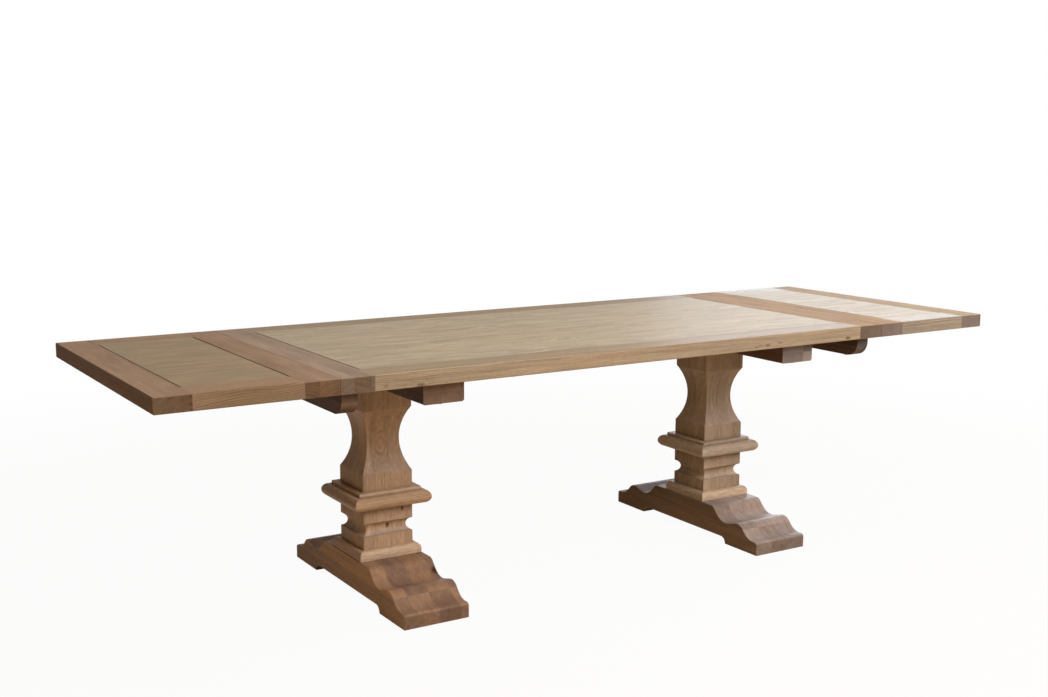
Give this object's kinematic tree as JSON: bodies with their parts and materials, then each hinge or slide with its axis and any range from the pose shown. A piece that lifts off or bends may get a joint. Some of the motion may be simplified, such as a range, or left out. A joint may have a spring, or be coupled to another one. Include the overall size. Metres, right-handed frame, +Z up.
{
  "type": "double pedestal dining table",
  "caption": "Long rectangular oak dining table on moulded square pedestals with sledge feet, with end leaves that dock on dowels and pull-out runners.",
  "frame": {"origin": "on the floor, under the middle of the table", "axes": "+X along the table's length, +Y from the front long edge to the back, +Z up"},
  "size_m": [3, 1, 0.775],
  "materials": {
    "panel_oak": "satin, lightly limed",
    "rail_oak": "satin",
    "end_board_oak": "satin",
    "beam_oak": "satin",
    "runner_oak": "planed, waxed",
    "pedestal_oak": "satin",
    "beech_dowel": "turned",
    "zinc_steel": "zinc plated"
  },
  "bodies": {
    "table": {"main_panel": "panel_oak", "main_rail_back": "rail_oak", "main_rail_front": "rail_oak", "main_end_right": "end_board_oak", "main_end_left": "end_board_oak", "left_bearer": "beam_oak", "left_bearer_screws": "zinc_steel", "left_end_batten": "beam_oak", "left_end_batten_screws": "zinc_steel", "left_foot": "pedestal_oak", "left_base_moulding": "pedestal_oak", "left_neck": "pedestal_oak", "left_collar": "pedestal_oak", "left_collar_plate": "pedestal_oak", "left_vase": "pedestal_oak", "left_tie_rod": "zinc_steel", "left_rod_nuts": "zinc_steel", "right_bearer": "beam_oak", "right_bearer_screws": "zinc_steel", "right_end_batten": "beam_oak", "right_end_batten_screws": "zinc_steel", "right_foot": "pedestal_oak", "right_base_moulding": "pedestal_oak", "right_neck": "pedestal_oak", "right_collar": "pedestal_oak", "right_collar_plate": "pedestal_oak", "right_vase": "pedestal_oak", "right_tie_rod": "zinc_steel", "right_rod_nuts": "zinc_steel"},
    "left_leaf": {"left_leaf_panel": "panel_oak", "left_leaf_rail_back": "rail_oak", "left_leaf_rail_front": "rail_oak", "left_leaf_end_inner": "end_board_oak", "left_leaf_end_outer": "end_board_oak", "left_leaf_dowels": "beech_dowel"},
    "left_front_runner": {"left_runner_front": "runner_oak", "left_runner_peg_front": "beech_dowel"},
    "left_back_runner": {"left_runner_back": "runner_oak", "left_runner_peg_back": "beech_dowel"},
    "right_leaf": {"right_leaf_panel": "panel_oak", "right_leaf_rail_back": "rail_oak", "right_leaf_rail_front": "rail_oak", "right_leaf_end_inner": "end_board_oak", "right_leaf_end_outer": "end_board_oak", "right_leaf_dowels": "beech_dowel"},
    "right_front_runner": {"right_runner_front": "runner_oak", "right_runner_peg_front": "beech_dowel"},
    "right_back_runner": {"right_runner_back": "runner_oak", "right_runner_peg_back": "beech_dowel"}
  },
  "joints": [
    {"name": "left_leaf_pull", "type": "slide", "parent": "table", "child": "left_leaf", "axis": [-1, 0, 0], "range_m": [0, 0.45]},
    {"name": "left_front_runner_slide", "type": "slide", "parent": "table", "child": "left_front_runner", "axis": [1, 0, 0], "range_m": [0, 0.41]},
    {"name": "left_back_runner_slide", "type": "slide", "parent": "table", "child": "left_back_runner", "axis": [1, 0, 0], "range_m": [0, 0.41]},
    {"name": "right_leaf_pull", "type": "slide", "parent": "table", "child": "right_leaf", "axis": [1, 0, 0], "range_m": [0, 0.45]},
    {"name": "right_front_runner_slide", "type": "slide", "parent": "table", "child": "right_front_runner", "axis": [-1, 0, 0], "range_m": [0, 0.41]},
    {"name": "right_back_runner_slide", "type": "slide", "parent": "table", "child": "right_back_runner", "axis": [-1, 0, 0], "range_m": [0, 0.41]}
  ]
}
